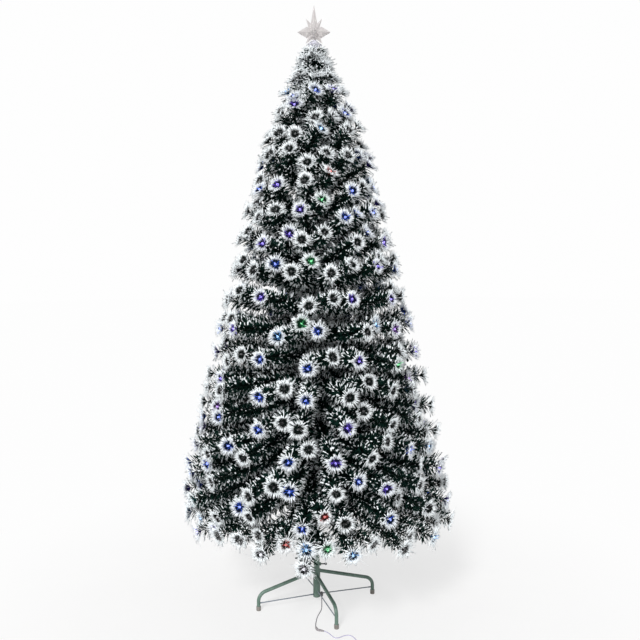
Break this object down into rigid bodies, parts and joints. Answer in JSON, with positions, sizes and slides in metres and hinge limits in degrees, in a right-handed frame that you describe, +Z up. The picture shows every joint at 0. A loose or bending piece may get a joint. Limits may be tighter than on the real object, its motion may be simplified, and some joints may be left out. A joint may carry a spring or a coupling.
{
  "type": "fiber optic christmas tree",
  "caption": "Tall conical artificial tree with tiers of bristled stems ending in light fibres, a plug-in sectional pole, a star on top, and a folding four-legged steel stand.",
  "frame": {"origin": "on the floor, on the pole's axis, at the middle of the four feet", "axes": "+Z up along the pole, +X to the right as the picture shows the tree, +Y to the back"},
  "size_m": [0.959, 0.9137, 2.1],
  "materials": {
    "stand_paint": "satin grey-green paint",
    "pole_paint": "satin dark green paint",
    "screw_steel": "dark plated steel",
    "cap_plastic": "grey moulded plastic",
    "wiring_plastic": "dark wire covering and plug shells",
    "foliage": "soft film needles, dark green with frosted white tips, round light fibres",
    "star_plastic": "clear moulded plastic",
    "grey_cord": "soft grey covering",
    "pale_cord": "soft pale covering",
    "adapter_plastic": "pale moulded plastic with two blades"
  },
  "bodies": {
    "stand": {"stand_post": "stand_paint", "leg_left": "stand_paint", "leg_right": "stand_paint", "stay_rod_left": "stand_paint", "stay_rod_right": "stand_paint", "foot_cap_left": "cap_plastic", "foot_cap_right": "cap_plastic", "cable_gland": "cap_plastic", "lead_cable": "grey_cord", "lead_connector": "grey_cord", "adapter_jack": "grey_cord", "adapter_cord": "pale_cord", "adapter_cord_coil": "pale_cord", "adapter_cord_end": "pale_cord", "coil_tie": "wiring_plastic", "power_adapter": "adapter_plastic"},
    "turning_legs": {"turning_sleeve": "stand_paint", "leg_front": "stand_paint", "leg_back": "stand_paint", "stay_rod_front": "stand_paint", "stay_rod_back": "stand_paint", "foot_cap_front": "cap_plastic", "foot_cap_back": "cap_plastic"},
    "clamp_screw": {"thumb_screw": "screw_steel"},
    "lower_section": {"pole_lower": "pole_paint", "wiring_lower": "wiring_plastic", "branch_tier_01": "foliage", "branch_tier_02": "foliage", "branch_tier_03": "foliage", "branch_tier_04": "foliage", "branch_tier_05": "foliage", "branch_tier_06": "foliage"},
    "middle_section": {"pole_middle": "pole_paint", "wiring_middle": "wiring_plastic", "branch_tier_07": "foliage", "branch_tier_08": "foliage", "branch_tier_09": "foliage", "branch_tier_10": "foliage", "branch_tier_11": "foliage", "branch_tier_12": "foliage", "branch_tier_13": "foliage"},
    "upper_section": {"pole_upper": "pole_paint", "wiring_upper": "wiring_plastic", "branch_tier_14": "foliage", "branch_tier_15": "foliage", "branch_tier_16": "foliage", "branch_tier_17": "foliage", "branch_tier_18": "foliage", "branch_tier_19": "foliage", "leader_brush": "foliage"},
    "star_top": {"star": "star_plastic", "star_socket": "star_plastic"}
  },
  "joints": [
    {"name": "leg_fold", "type": "hinge", "parent": "stand", "child": "turning_legs", "pos_m": [0, 0, 0.075], "axis": [0, 0, 1], "range_deg": [0, 80]},
    {"name": "thumb_screw_turn", "type": "hinge", "parent": "stand", "child": "clamp_screw", "pos_m": [0.02, 0, 0.143], "axis": [1, 0, 0], "continuous": true},
    {"name": "lower_section_lift", "type": "slide", "parent": "stand", "child": "lower_section", "axis": [0, 0, 1], "range_m": [0, 0.15]},
    {"name": "middle_section_lift", "type": "slide", "parent": "lower_section", "child": "middle_section", "axis": [0, 0, 1], "range_m": [0, 0.045]},
    {"name": "upper_section_lift", "type": "slide", "parent": "middle_section", "child": "upper_section", "axis": [0, 0, 1], "range_m": [0, 0.045]},
    {"name": "star_lift", "type": "slide", "parent": "upper_section", "child": "star_top", "axis": [0, 0, 1], "range_m": [0, 0.015]}
  ]
}
